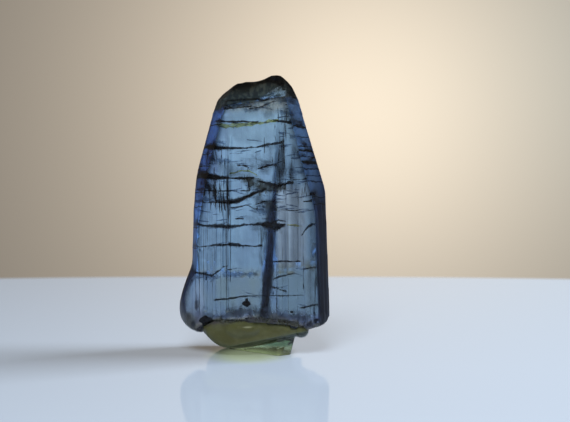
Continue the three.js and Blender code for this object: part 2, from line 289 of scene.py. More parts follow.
crystalLook = {
    "ior": 1.69,
    "roughness": 0.05,
    "gloss": (0.32, 0.33, 0.36, 1),    # of the front, which mirrors little
    "edgeRoughness": 0.14,             # near both sides, where it is scuffed
    "rootRoughness": 0.32,
    "leftRoughness": 0.35,
    "density": 62,                     # per metre
    "absorbs": (0.0, 0.40, 0.93, 1),
    "voxel": 0.16,                     # mm
    "worn": 5,                         # rounds of smoothing on the edges
    "healed": (0.45, 0.9),             # mm: how much lower the copies lie that close the open cracks
    "healedAbove": 5.6,                # mm: where they end
    "footBounds": (-6.0, 13.0),        # mm: the flared foot lies left of and below these
    "footWorn": 90,
    "stepBounds": (2.5, -0.1, 0.094, 3.4),  # mm: y behind which, x at the bottom, its slope, and width
    "stepWorn": 70,
    "bevelFrom": (0.5, 13.0, 29.2),    # share of the half width, and mm, beyond which the bevels lie
    "bevelRight": 4.5,                 # mm: where the right one starts
    "bevelWorn": 40,
    "regain": 0.13,                    # mm that the smoothing took
    "clear": (0.38, 0.65, 0.99, 1),
    "upper": (0.42, 0.70, 1.0, 1),     # brighter below the tip
    "veined": (0.36, 0.42, 0.44, 1),   # duller under the broken tip, with dark veins
    "vein": (0.10, 0.15, 0.18, 1),
    "dullShade": (0.30, 0.23, 0.125, 1),    # painted shade: brownish near it, dimming the blue light that comes up the prism
    "dullIn": ((-0.2, 0.8), (31.0, 31.6)),  # mm: from x and z
    "violet": (0.12, 0.20, 0.55, 1),   # along the left side of the upper half
    "violetRight": (0.52, 0.76, 1.0, 1),
    "taperLeft": (0.026, 0.050, 0.20, 1),  # the slanting face at the upper left
    # cracks that reach the slanting faces, left (-1) and right: height in mm at the edge, half thickness
    "edgeCracks": {
        -1: ((27.9, 0.07), (25.2, 0.2), (24.3, 0.06), (22.9, 0.07), (21.65, 0.36), (19.6, 0.06), (17.9, 0.07),
             (15.35, 0.07), (12.85, 0.06)),
        1: ((27.65, 0.12), (26.4, 0.05), (25.3, 0.08), (24.7, 0.14), (24.0, 0.07), (23.35, 0.22), (22.5, 0.10),
            (21.7, 0.05), (21.0, 0.07), (19.1, 0.06), (18.2, 0.06)),
    },
    "edgeLean": 0.094,                 # mm they rise for each mm of y
    # painted shade: a dark outline along the left edge of the foot
    "footEdgeShade": (0.010, 0.014, 0.035, 1),
    "footInside": (0.62, 0.66, 0.62, 1),
    "footLow": (0.06, 0.06, 0.10, 1),
    "brighter": (0.56, 0.75, 0.98, 1),  # right of the dark band, between two x and below a z in mm
    "brighterIn": ((2.5, 6.4), 20.4),
    "side": (0.004, 0.005, 0.014, 1),    # painted shade on the narrow faces on the right of the front
    "sideShadeStreak": (0.05, 0.065, 0.12, 1),
    "sideRoughness": 0.7,
    "ledge": (0.055, 0.051, 0.054, 1),   # the wall of the growth step on the back
    "ledgeStreak": (0.30, 0.30, 0.31, 1),
    "cap": (0.0040, 0.0032, 0.0014, 1),  # the dark broken tip, its near-black partly painted shade, and its paler streaks
    "capStreak": (0.042, 0.031, 0.012, 1),
    # mm: from x, to x, and by how much its lower edge rises there
    "capRises": ((-4.6, -2.4, 0.9), (-0.6, 3.2, 2.0), (3.2, 4.8, -1.3)),
    "low": (0.36, 0.44, 0.41, 1),      # greyer towards the root: a painted tint that dulls the bluish floor light seen through the lower part
    # painted shade where the crystal sits on the lump
    "root": (0.26, 0.28, 0.42, 1),
    "seamShade": (0.60, 0.56, 0.48, 1),     # painted shade on the faces that look down, where it sits on the lump
    "line": (0.17, 0.28, 0.52, 1),     # its darker clouds
    "striation": (0.42, 0.48, 0.60, 1),  # what is left of the light behind a striation
    "middle": 0.3,                     # mm: x of the middle
    "halfWidth": ((19.0, 8.6), (31.0, 4.9)),  # mm: height, half the width there
    "violetFrom": (0.45, 0.6),         # share of the half width, at the left and at the right
    "pane": (-2.9, 1.3),               # mm: the clear middle, with few striations
}


def tanzanite(look):
    material, tree, shader = newMaterial("tanzanite")
    place, at = inMillimetres(tree)
    split = addNode(tree, "ShaderNodeSeparateXYZ", {0: at})
    x, y, z = split.outputs
    facing = addNode(tree, "ShaderNodeSeparateXYZ", {0: place.outputs["Normal"]})
    mottle = grain(tree, at, (0.5, 0.5, 0.16), 4.0)
    fuzzy = maths(tree, "MULTIPLY_ADD", grain(tree, at, (1.4, 1.4, 0.5), 4.0), 4.0, z)
    (low, wide), (high, narrow) = look["halfWidth"]
    half = addNode(tree, "ShaderNodeMapRange", {"Value": z, "From Min": low, "From Max": high,
                                                "To Min": wide, "To Max": narrow}).outputs["Result"]
    aside = maths(tree, "DIVIDE", maths(tree, "ABSOLUTE", maths(tree, "SUBTRACT", x, look["middle"])), half)
    patchy = maths(tree, "MULTIPLY_ADD", mottle, 0.5, maths(tree, "SUBTRACT", aside, 0.25))
    violetFrom = ramp(tree, x, -1.0, 1.0, *look["violetFrom"])
    violetShare = maths(tree, "MULTIPLY", ramp(tree, patchy, violetFrom, 1.0),
                        ramp(tree, z, 14.0, 21.0, 0.1, 1.0))
    color = tinted(tree, ramp(tree, z, 23.0, 27.0), look["clear"], look["upper"])
    (left, right), high = look["brighterIn"]
    share = maths(tree, "MULTIPLY", ramp(tree, x, left, left + 0.6), ramp(tree, x, right + 0.6, right - 0.6))
    share = maths(tree, "MULTIPLY", share, ramp(tree, z, high + 0.8, high - 0.8))
    color = tinted(tree, share, color, look["brighter"])
    # painted tint: greyer below the line where the floor shows through, dulling its bluish light
    level = maths(tree, "SUBTRACT", z, ramp(tree, x, 0.8, 2.6, 0.0, 0.9))
    level = maths(tree, "SUBTRACT", level, ramp(tree, x, 6.2, 7.0, 0.0, 0.5))
    low = tinted(tree, ramp(tree, x, -6.0, -6.8), look["low"], look["footInside"])
    color = tinted(tree, ramp(tree, level, 10.6, 9.2), color, low)
    violet = tinted(tree, ramp(tree, x, -1.0, 1.0), look["violet"], look["violetRight"])
    color = tinted(tree, violetShare, color, violet)
    clouds = maths(tree, "MULTIPLY", ramp(tree, mottle, 0.62, 0.36, 0.0, 0.35), ramp(tree, x, 3.0, 4.4, 1.0, 0.4))
    color = tinted(tree, clouds, color, look["line"])
    veins = ramp(tree, grain(tree, at, (2.2, 1.2, 2.2), 4.0), 0.50, 0.60)
    veined = tinted(tree, veins, look["veined"], look["vein"])
    belowTip = maths(tree, "MULTIPLY", ramp(tree, maths(tree, "MULTIPLY_ADD", mottle, 1.2, z), 29.7, 30.9, 0.0, 0.85),
                     ramp(tree, x, 3.4, 4.6, 1.0, 0.3))
    color = tinted(tree, belowTip, color, veined)
    # painted shade near the broken tip, dimming the blue light that comes up the prism
    fromX, fromZ = look["dullIn"]
    dullShadeShare = maths(tree, "MULTIPLY", ramp(tree, x, *fromX), ramp(tree, z, *fromZ))
    color = tinted(tree, dullShadeShare, color, tinted(tree, veins, look["dullShade"], look["capStreak"]))
    # the striations, as fine dark lines up the prism
    left, right = look["pane"]
    inPane = maths(tree, "MULTIPLY", ramp(tree, x, left - 0.4, left + 0.2), ramp(tree, x, right + 0.6, right))
    lengthwise = [ramp(tree, grain(tree, at, run, 3.0), 0.545, 0.64) for run in ((3.0, 0, 0.014), (0, 3.0, 0.014))]
    flank = ramp(tree, maths(tree, "ABSOLUTE", facing.outputs["X"]), 0.72, 0.86)
    lines = addNode(tree, "ShaderNodeMix", {"Factor": flank, 2: lengthwise[0], 3: lengthwise[1]}).outputs[0]
    fading = ramp(tree, grain(tree, at, (1.3, 0.4, 0.11), 2.0), 0.38, 0.58)
    striped = maths(tree, "MULTIPLY", maths(tree, "MULTIPLY", lines, fading), ramp(tree, inPane, 0.0, 1.0, 1.0, 0.15))
    striped = maths(tree, "MULTIPLY", striped, ramp(tree, z, 30.0, 22.0, 0.0, 0.95))
    striped = maths(tree, "MULTIPLY", striped, ramp(tree, x, 1.6, 2.8, 0.9, 0.6))
    color = tinted(tree, striped, color, look["striation"], "MULTIPLY")
    # painted shade on the narrow faces at the right
    sideways = maths(tree, "MULTIPLY", ramp(tree, facing.outputs["X"], 0.35, 0.6),
                     ramp(tree, facing.outputs["Y"], -0.12, -0.25))
    sideShade = tinted(tree, ramp(tree, grain(tree, at, (0.3, 1.5, 0.03), 2.0), 0.55, 0.68), look["side"],
                      look["sideShadeStreak"])
    color = tinted(tree, maths(tree, "MULTIPLY", sideways, ramp(tree, z, 24.5, 18.0)), color, sideShade)
    scuffs = ramp(tree, grain(tree, at, (1.6, 1.6, 2.4), 5.0), 0.48, 0.62, 0.0, 0.35)
    slanting = ramp(tree, maths(tree, "ABSOLUTE", facing.outputs["X"]), 0.6, 0.8)
    tapering = maths(tree, "MULTIPLY", slanting, ramp(tree, z, 18.0, 21.0))
    leftTaper = maths(tree, "MULTIPLY", slanting, ramp(tree, x, 0.0, -1.0, 0.0, 0.9))
    leftTaper = maths(tree, "MULTIPLY", leftTaper, ramp(tree, z, 18.0, 21.0, 0.35, 1.0))
    color = tinted(tree, maths(tree, "MULTIPLY", leftTaper, ramp(tree, z, 12.0, 13.5)), color, look["taperLeft"])
    color = tinted(tree, maths(tree, "MULTIPLY", scuffs, tapering), color, look["vein"])
    level = maths(tree, "MULTIPLY_ADD", y, look["edgeLean"], maths(tree, "SUBTRACT", z, 0.35))
    level = maths(tree, "MULTIPLY_ADD", grain(tree, at, (0.8, 0.8, 1.4), 4.0), 0.7, level)
    for side, rows in look["edgeCracks"].items():
        cut = 0.0
        for height, half in rows:
            off = maths(tree, "ABSOLUTE", maths(tree, "SUBTRACT", level, height))
            cut = maths(tree, "MAXIMUM", cut, ramp(tree, off, half * 1.5, half * 0.6))
        cut = maths(tree, "MULTIPLY", cut, ramp(tree, facing.outputs["X"], side * 0.35, side * 0.6))
        color = tinted(tree, cut, color, look["cap"])
    # painted shade on the faces of the foot that turn to the left
    footEdgeShade = maths(tree, "MULTIPLY", ramp(tree, facing.outputs["X"], -0.58, -0.76), ramp(tree, z, 13.0, 10.0))
    color = tinted(tree, footEdgeShade, color, look["footEdgeShade"])
    footLow = maths(tree, "MULTIPLY", ramp(tree, fuzzy, 8.0, 6.0), ramp(tree, x, -5.6, -7.0))
    wall = maths(tree, "MULTIPLY", ramp(tree, facing.outputs["X"], -0.12, -0.3),
                 maths(tree, "MULTIPLY", ramp(tree, facing.outputs["Y"], 0.2, 0.5), ramp(tree, aside, 0.6, 0.5)))
    wisps = ramp(tree, grain(tree, at, (2.6, 2.6, 0.3), 4.0), 0.46, 0.60)
    ledge = tinted(tree, wisps, look["ledge"], look["ledgeStreak"])
    color = tinted(tree, maths(tree, "MULTIPLY", wall, ramp(tree, z, 20.0, 16.0, 0.2, 0.9)), color, ledge)
    color = tinted(tree, footLow, color, look["footLow"])
    # the root and the tip, with painted shade at the root and on the faces that look down onto the lump
    rootShadeShare = maths(tree, "MULTIPLY", ramp(tree, fuzzy, 7.2, 5.2), ramp(tree, x, -6.6, -5.0, 0.15, 1.0))
    color = tinted(tree, rootShadeShare, color, look["root"])
    rises = 0.0
    for start, end, most in look["capRises"]:
        rises = maths(tree, "ADD", rises, ramp(tree, x, start, end, 0.0, most))
    ragged = maths(tree, "MULTIPLY_ADD", grain(tree, at, (1.2, 0.8, 2.5), 4.0), 1.6, maths(tree, "SUBTRACT", z, rises))
    # the broken tip: its own dark broken surface, darkened further by painted shade
    broken = ramp(tree, ragged, 29.9, 30.7)
    tip = tinted(tree, ramp(tree, grain(tree, at, (1.6, 0.8, 0.5), 4.0), 0.45, 0.65), look["cap"], look["capStreak"])
    color = tinted(tree, broken, color, tip)
    # painted shade on the faces that look down onto the lump
    color = tinted(tree, ramp(tree, facing.outputs["Z"], -0.15, -0.5), color, look["seamShade"])
    tree.links.new(color, shader.inputs["Base Color"])
    shader.inputs["Transmission Weight"].default_value = 1
    shader.inputs["IOR"].default_value = look["ior"]
    scuffed = maths(tree, "MAXIMUM", ramp(tree, aside, 0.72, 0.95), wall)
    shader.inputs["Specular Tint"].default_value = look["gloss"]
    rough = ramp(tree, scuffed, 0.0, 1.0, look["roughness"], look["edgeRoughness"])
    leftSide = maths(tree, "MULTIPLY", slanting, ramp(tree, x, 0.0, -1.0))
    for share, most in ((broken, 0.3), (sideways, look["sideRoughness"]), (rootShadeShare, look["rootRoughness"]),
                        (leftSide, look["leftRoughness"])):
        rough = maths(tree, "MAXIMUM", rough, maths(tree, "MULTIPLY", share, most))
    tree.links.new(rough, shader.inputs["Roughness"])
    height = maths(tree, "MULTIPLY_ADD", grain(tree, at, (0.45, 0.45, 0.3), 2.0), 1.0,
                   maths(tree, "MULTIPLY", grain(tree, at, (5.5, 5.5, 0.05), 3.0), 0.15))
    bump = addNode(tree, "ShaderNodeBump", {"Height": height, "Strength": 1.0, "Distance": 0.06 * mm})
    tree.links.new(bump.outputs["Normal"], shader.inputs["Normal"])
    depths = addNode(tree, "ShaderNodeVolumeAbsorption", {"Density": look["density"], "Color": look["absorbs"]})
    tree.links.new(depths.outputs["Volume"], tree.nodes["Material Output"].inputs["Volume"])
    return material


# a copy set a little lower lies inside the crystal and closes its cracks
def sunkCopy(look, drop):
    part = copyOfNode("crystal", "healedInside")
    bpy.ops.object.mode_set(mode="EDIT")
    bpy.ops.mesh.select_all(action="SELECT")
    bpy.ops.transform.translate(value=(0, 0, -drop * mm))
    bpy.ops.mesh.bisect(plane_co=(0, 0, look["healedAbove"] * mm), plane_no=(0, 0, 1),
                        clear_inner=True, use_fill=True)
    bpy.ops.object.mode_set(mode="OBJECT")
    return part


def makeCrystal(look):
    crystal = copyOfNode("crystal", "crystalSkin")
    healed = [sunkCopy(look, drop) for drop in look["healed"]]
    pick(crystal)
    for part in healed:
        part.select_set(True)
    bpy.ops.object.join()
    evenOut(crystal, look["voxel"])
    applyModifier(crystal, "SMOOTH", "worn", factor=0.5, iterations=look["worn"])
    left, top = look["footBounds"]
    behind, start, slope, wide = look["stepBounds"]
    aside, above, below = look["bevelFrom"]
    (low, halfLow), (high, halfHigh) = look["halfWidth"]
    narrowing = (halfHigh - halfLow) / (high - low)
    zones = {
        "flare": (look["footWorn"], lambda x, y, z: x < left and z < top),
        "step": (look["stepWorn"], lambda x, y, z: y > behind and 0 < x - start - slope * z < wide),
        "bevels": (look["bevelWorn"], lambda x, y, z: (above if x < 0 else look["bevelRight"]) < z < below and
                   abs(x - look["middle"]) > aside * min(halfLow, halfLow + narrowing * (z - low))),
    }
    for name, (rounds, covers) in zones.items():
        zone = crystal.vertex_groups.new(name=name)
        zone.add([v.index for v in crystal.data.vertices if covers(*(v.co / mm))], 1.0, "ADD")
        applyModifier(crystal, "SMOOTH", name + "Worn", factor=0.5, iterations=rounds, vertex_group=name)
    applyModifier(crystal, "DISPLACE", "regain", strength=look["regain"] * mm, mid_level=0)
    bpy.ops.object.shade_smooth()
    crystal.data.materials.append(tanzanite(look))
    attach(crystal, "root")
    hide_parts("crystal")
    return crystal


# the cracks across it: thin films that follow a line seen from the front and reach inwards

crackLook = {
    "eye": (31.9, 284.0),   # mm: the height seen level, and how far off it looks through the crystal
    "waver": 0.10,          # mm up and down
    "margin": 0.06,         # mm kept from the surface
    "core": 1.45,           # how far the film reaches past the seen thickness
    "lift": (28.4, 13.0, 0.4),  # mm: below the first height the films lie higher, by up to the last
    "hang": (0.14, 1.4),    # mm that every fringe hangs down, and more for each mm of seen thickness
    "skirtSteps": (0.12, 9),    # mm upwards, and how many, to where the veil finds the crystal's front
    "skirtFront": -3.0,         # mm: y behind which the front doesn't lie
    "columns": 40,
    "rows": 7,
}

# each crack: front edge depth and reach in mm, then points x, z and thickness as seen
darkCracks = [
    # the tip
    (-2.4, 1.0, [(-3.6, 30.95, 0.03), (-0.6, 30.95, 0.05), (0.9, 30.85, 0.06), (2.2, 31.1, 0.03)]),
    (-2.3, 1.2, [(-0.6, 29.95, 0.08), (0.95, 30.25, 0.08), (2.1, 30.75, 0.06), (3.1, 31.0, 0.04)]),
    (-2.3, 1.2, [(-3.4, 29.9, 0.04), (-1.8, 30.15, 0.07), (-0.2, 30.3, 0.05)]),
    (-2.0, 3.0, [(3.7, 30.4, 0.08), (4.9, 30.6, 0.12)]),
    (-2.6, 2.5, [(-4.6, 28.4, 0.1), (-2.7, 28.45, 0.12), (0.6, 28.4, 0.1)]),
    (-2.8, 4.0, [(2.3, 28.55, 0.1), (3.8, 28.35, 0.15), (5.0, 28.1, 0.2), (6.1, 27.9, 0.12)]),
    # the upper half
    (-3.0, 4.5, [(-6.0, 25.3, 0.4), (-4.4, 25.2, 0.5), (-3.1, 25.2, 0.3), (-1.2, 25.2, 0.12), (0.4, 25.3, 0.12),
                 (1.6, 25.5, 0.15), (2.9, 25.75, 0.2), (3.8, 25.95, 0.12)]),
    (-2.9, 5.0, [(-7.0, 22.1, 0.85), (-5.7, 21.75, 0.8), (-4.35, 21.55, 0.55), (-3.3, 21.5, 0.15),
                 (-1.7, 21.4, 0.2), (0.3, 21.55, 0.12)]),
    (-2.0, 2.5, [(-2.0, 23.05, 0.1), (-1.2, 23.0, 0.14), (-0.5, 22.75, 0.08)]),
    (-2.2, 3.0, [(0.5, 22.55, 0.12), (1.6, 22.95, 0.2), (2.9, 23.05, 0.12)]),
    (-1.5, 4.0, [(0.3, 21.0, 0.12), (1.3, 20.95, 0.3), (2.2, 20.6, 0.4), (3.2, 20.5, 0.45), (4.0, 20.75, 0.35),
                 (4.9, 20.9, 0.12)]),
    (-2.7, 3.0, [(-7.2, 19.9, 0.08), (-3.5, 19.8, 0.1), (-0.4, 19.9, 0.08)]),
    (-2.2, 4.2, [(-6.5, 18.1, 0.05), (-5.0, 18.45, 0.12), (-2.7, 18.45, 0.45), (-1.5, 18.85, 0.4),
                 (-0.1, 19.55, 0.35), (1.0, 19.8, 0.4), (1.8, 20.2, 0.2)]),
    (-2.4, 2.2, [(-2.7, 17.7, 0.1), (-1.5, 17.9, 0.15), (-0.9, 18.1, 0.12), (-0.1, 17.65, 0.1), (0.6, 17.6, 0.08)]),
    (-1.8, 2.2, [(0.2, 18.1, 0.1), (1.5, 18.55, 0.12)]),
    (-2.0, 2.5, [(3.2, 17.5, 0.08), (5.4, 17.3, 0.1)]),
    # right edge
    (-2.8, 3.0, [(5.3, 25.7, 0.08), (7.0, 25.7, 0.12)]),
    (-2.7, 3.0, [(5.7, 24.9, 0.1), (7.3, 24.9, 0.2)]),
    (-2.6, 4.0, [(5.9, 23.5, 0.4), (6.7, 23.65, 0.45), (7.5, 23.8, 0.2)]),
    (-2.8, 3.0, [(4.7, 21.25, 0.1), (6.2, 21.3, 0.1)]),
    (-2.7, 1.2, [(6.6, 19.3, 0.1), (7.1, 19.45, 0.65), (7.6, 19.35, 0.1)]),
    (-2.7, 2.5, [(6.0, 18.5, 0.1), (7.6, 18.45, 0.15)]),
    (-2.9, 4.0, [(5.8, 14.3, 0.12), (6.4, 15.1, 0.26), (7.1, 15.7, 0.28), (7.9, 16.6, 0.4)]),
    # the lower half
    (-2.9, 5.5, [(-7.2, 15.45, 0.12), (-4.8, 15.45, 0.42), (-2.85, 15.4, 0.44), (-1.75, 15.45, 0.34),
                 (-1.2, 15.65, 0.25), (0.2, 15.65, 0.2), (1.5, 15.75, 0.35), (2.4, 15.5, 0.9), (3.1, 15.4, 0.8),
                 (3.9, 15.55, 0.15)]),
    (-2.5, 2.0, [(2.0, 15.95, 0.1), (3.2, 16.15, 0.14), (3.9, 16.0, 0.08)]),
    (-2.5, 2.0, [(-2.3, 16.3, 0.1), (-1.2, 16.35, 0.08)]),
    (-2.8, 4.5, [(-7.2, 12.8, 0.08), (-5.2, 13.05, 0.12), (-3.65, 13.15, 0.32), (-2.6, 13.2, 0.30),
                 (-1.5, 13.05, 0.24), (-0.1, 13.0, 0.10), (0.6, 13.0, 0.2), (1.3, 13.1, 0.15)]),
    (-2.9, 4.0, [(-7.2, 9.75, 0.1), (-5.85, 9.6, 0.25), (-5.3, 9.4, 0.3), (-4.5, 9.75, 0.2),
                 (-3.8, 10.4, 0.15), (-3.1, 10.7, 0.08)]),
    (-2.8, 2.5, [(-3.4, 10.1, 0.1), (-2.6, 10.1, 0.1)]),
    (-2.5, 3.0, [(2.3, 11.1, 0.15), (5.8, 11.1, 0.12)]),
    (-2.8, 3.5, [(2.2, 8.9, 0.1), (3.45, 9.35, 0.18), (5.1, 9.75, 0.12)]),
    (-2.8, 3.0, [(6.2, 10.15, 0.1), (7.9, 10.5, 0.2)]),
    (-2.7, 4.0, [(-5.05, 6.3, 0.08), (-2.85, 6.55, 0.16), (-1.5, 6.8, 0.13), (-0.1, 6.9, 0.1),
                 (1.7, 6.95, 0.1), (4.0, 6.9, 0.12), (6.1, 7.0, 0.08)]),
    (-2.5, 3.0, [(2.0, 8.1, 0.15), (3.9, 7.4, 0.2)]),
    (-2.6, 3.5, [(5.6, 5.35, 0.1), (7.9, 5.9, 0.3)]),
]
stainedCracks = [
    (-2.7, 3.5, [(-4.3, 27.85, 0.12), (-3.4, 27.8, 0.26), (-2.35, 27.85, 0.24), (-0.5, 28.0, 0.16),
                 (1.0, 28.25, 0.16), (2.0, 28.5, 0.26), (3.2, 28.55, 0.12)]),
    (-2.2, 3.0, [(-3.2, 28.0, 0.06), (-2.4, 28.15, 0.16), (-1.2, 28.1, 0.10), (0.6, 28.3, 0.06)]),
    (-1.6, 2.0, [(-3.05, 21.8, 0.1), (-1.7, 22.3, 0.14), (-0.5, 22.3, 0.14), (0.5, 21.7, 0.1)]),
    (-1.8, 3.0, [(4.1, 15.5, 0.12), (5.2, 15.4, 0.22), (5.9, 15.35, 0.06)]),
]


def alongPath(path, share):
    lengths = [math.dist(a[:2], b[:2]) for a, b in zip(path, path[1:])]
    far = share * sum(lengths)
    for (start, end), length in zip(zip(path, path[1:]), lengths):
        if far <= length:
            break
        far -= length
    return [a + (b - a) * min(far / length, 1.0) for a, b in zip(start, end)]


def lifted(look, z):
    start, over, most = look["lift"]
    return most * min(1.0, max(0.0, (start - z) / over))


def addCrack(look, name, front, reach, path, seed):
    crack = addGrid(look, name)
    level, far = look["eye"]
    for vertex in crack.data.vertices:
        share, inward = vertex.co.x + 0.5, vertex.co.y + 0.5
        x, z, thick = alongPath(path, share)
        ragged = noise.noise(Vector((x * 1.7, seed, 3.1)))
        deep = inward * reach * (0.75 + 0.5 * ragged)
        uneven = 1.0 + 0.7 * noise.noise(Vector((x * 1.9, seed * 1.7, 9.0)))
        uneven = max(0.25, uneven + 0.5 * noise.noise(Vector((x * 6.0, seed * 1.7, 4.0))))
        waver = look["waver"] * noise.noise(Vector((x * 1.1, deep * 0.6, seed * 2.3)))
        fine = 0.35 * look["waver"] * noise.noise(Vector((x * 5.0, deep * 2.0, seed)))
        dip = deep * (level - z) / far
        rise = (inward - 0.5) * thick * look["core"] * uneven + lifted(look, z)
        vertex.co = Vector((x, front + deep, z + waver + fine + rise - dip)) * mm
    return crack


def addFringe(look, name, front, path, seed):
    fringe = addGrid(look, name)
    least, more = look["hang"]
    for vertex in fringe.data.vertices:
        share, down = vertex.co.x + 0.5, 0.5 - vertex.co.y
        x, z, thick = alongPath(path, share)
        length = (least + more * thick) * (1.0 + 0.8 * noise.noise(Vector((x * 1.3, seed, 6.0))))
        sway = 0.1 * noise.noise(Vector((x * 2.0, down * 2.0, seed)))
        hanging = z + lifted(look, z) - length * down
        vertex.co = Vector((x + sway * down, front + 0.25 + 0.5 * down, hanging)) * mm
    return fringe


def addBand(look, name, depth, path, seed):
    band = addGrid(look, name)
    for vertex in band.data.vertices:
        share, across = vertex.co.x + 0.5, vertex.co.y
        x, z, width = alongPath(path, share)
        waver = 0.25 * width * noise.noise(Vector((seed, z * 0.7, across * 2)))
        bulge = 0.4 * noise.noise(Vector((across * 3, z * 0.4, seed * 1.3)))
        vertex.co = Vector((x + across * width + waver, depth + bulge, z)) * mm
    return band


def addGrid(look, name):
    bpy.ops.object.select_all(action="DESELECT")
    bpy.ops.mesh.primitive_grid_add(x_subdivisions=look["columns"], y_subdivisions=look["rows"], size=1)
    grid = bpy.context.object
    grid.name = name
    return grid


# a low veil that hugs the front from outside and thins out upwards
def addSkirt(look, name, path, seed, skin):
    skirt = addGrid(look, name)
    step, most = look["skirtSteps"]
    for vertex in skirt.data.vertices:
        share, up = vertex.co.x + 0.5, 0.5 - vertex.co.y
        x, z, tall = alongPath(path, share)
        ragged = 1.0 + 0.9 * noise.noise(Vector((x * 1.1, seed, 2.0))) + 0.5 * noise.noise(Vector((x * 3.5, seed, 5.0)))
        height = z + tall * up * ragged
        for raised in range(most):
            start = Vector((x, -20, height + raised * step)) * mm
            _, front, _, _ = skin.ray_cast(start, Vector((0, 1, 0)))
            if front.y / mm < look["skirtFront"]:
                break
        vertex.co = Vector((x, min(front.y / mm, look["skirtFront"]) - look["margin"], height)) * mm
    return skirt


def joinFilms(look, name, parts, material, skin):
    bpy.ops.object.select_all(action="DESELECT")
    for part in parts:
        part.select_set(True)
    bpy.context.view_layer.objects.active = parts[0]
    bpy.ops.object.join()
    piece = parts[0]
    piece.name = name
    if skin:
        applyModifier(piece, "SHRINKWRAP", "keepInside", target=skin, wrap_method="NEAREST_SURFACEPOINT",
                      wrap_mode="INSIDE", offset=look["margin"] * mm)
    bpy.ops.object.shade_smooth()
    piece.data.materials.append(material)
    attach(piece, "root")
    return piece


def filmMaterial(name, look):
    material, tree, shader = newMaterial(name)
    _, at = inMillimetres(tree)
    place = addNode(tree, "ShaderNodeUVMap", uv_map="UVMap").outputs["UV"]
    split = addNode(tree, "ShaderNodeSeparateXYZ", {0: place})
    ends, edges = [maths(tree, "SUBTRACT", 1.0, maths(tree, "ABSOLUTE", maths(tree, "MULTIPLY_ADD", way, 2.0, -1.0)))
                   for way in (split.outputs["X"], split.outputs["Y"])]
    if look.get("hangs"):
        edges = split.outputs["Y"]
    inside = maths(tree, "MINIMUM", edges, maths(tree, "MULTIPLY", ends, look["ends"]))
    strokes = grain(tree, at, look["strokes"], 4.0)
    blots = grain(tree, at, look["blots"], 3.0)
    worn = maths(tree, "ADD", maths(tree, "MULTIPLY_ADD", strokes, look["feather"], inside),
                 maths(tree, "MULTIPLY", blots, look["patches"]))
    level = (look["feather"] + look["patches"]) * 0.5
    cover = ramp(tree, worn, level + look["from"], level + look["to"], 0.0, look["cover"])
    tree.links.new(cover, shader.inputs["Alpha"])
    color = tinted(tree, ramp(tree, blots, 0.42, 0.6), look["color"], look["second"])
    tree.links.new(color, shader.inputs["Base Color"])
    shader.inputs["Roughness"].default_value = 0.5
    shader.inputs["Transmission Weight"].default_value = look.get("seeThrough", 0.0)
    shader.inputs["IOR"].default_value = look.get("ior", 1.5)
    return material


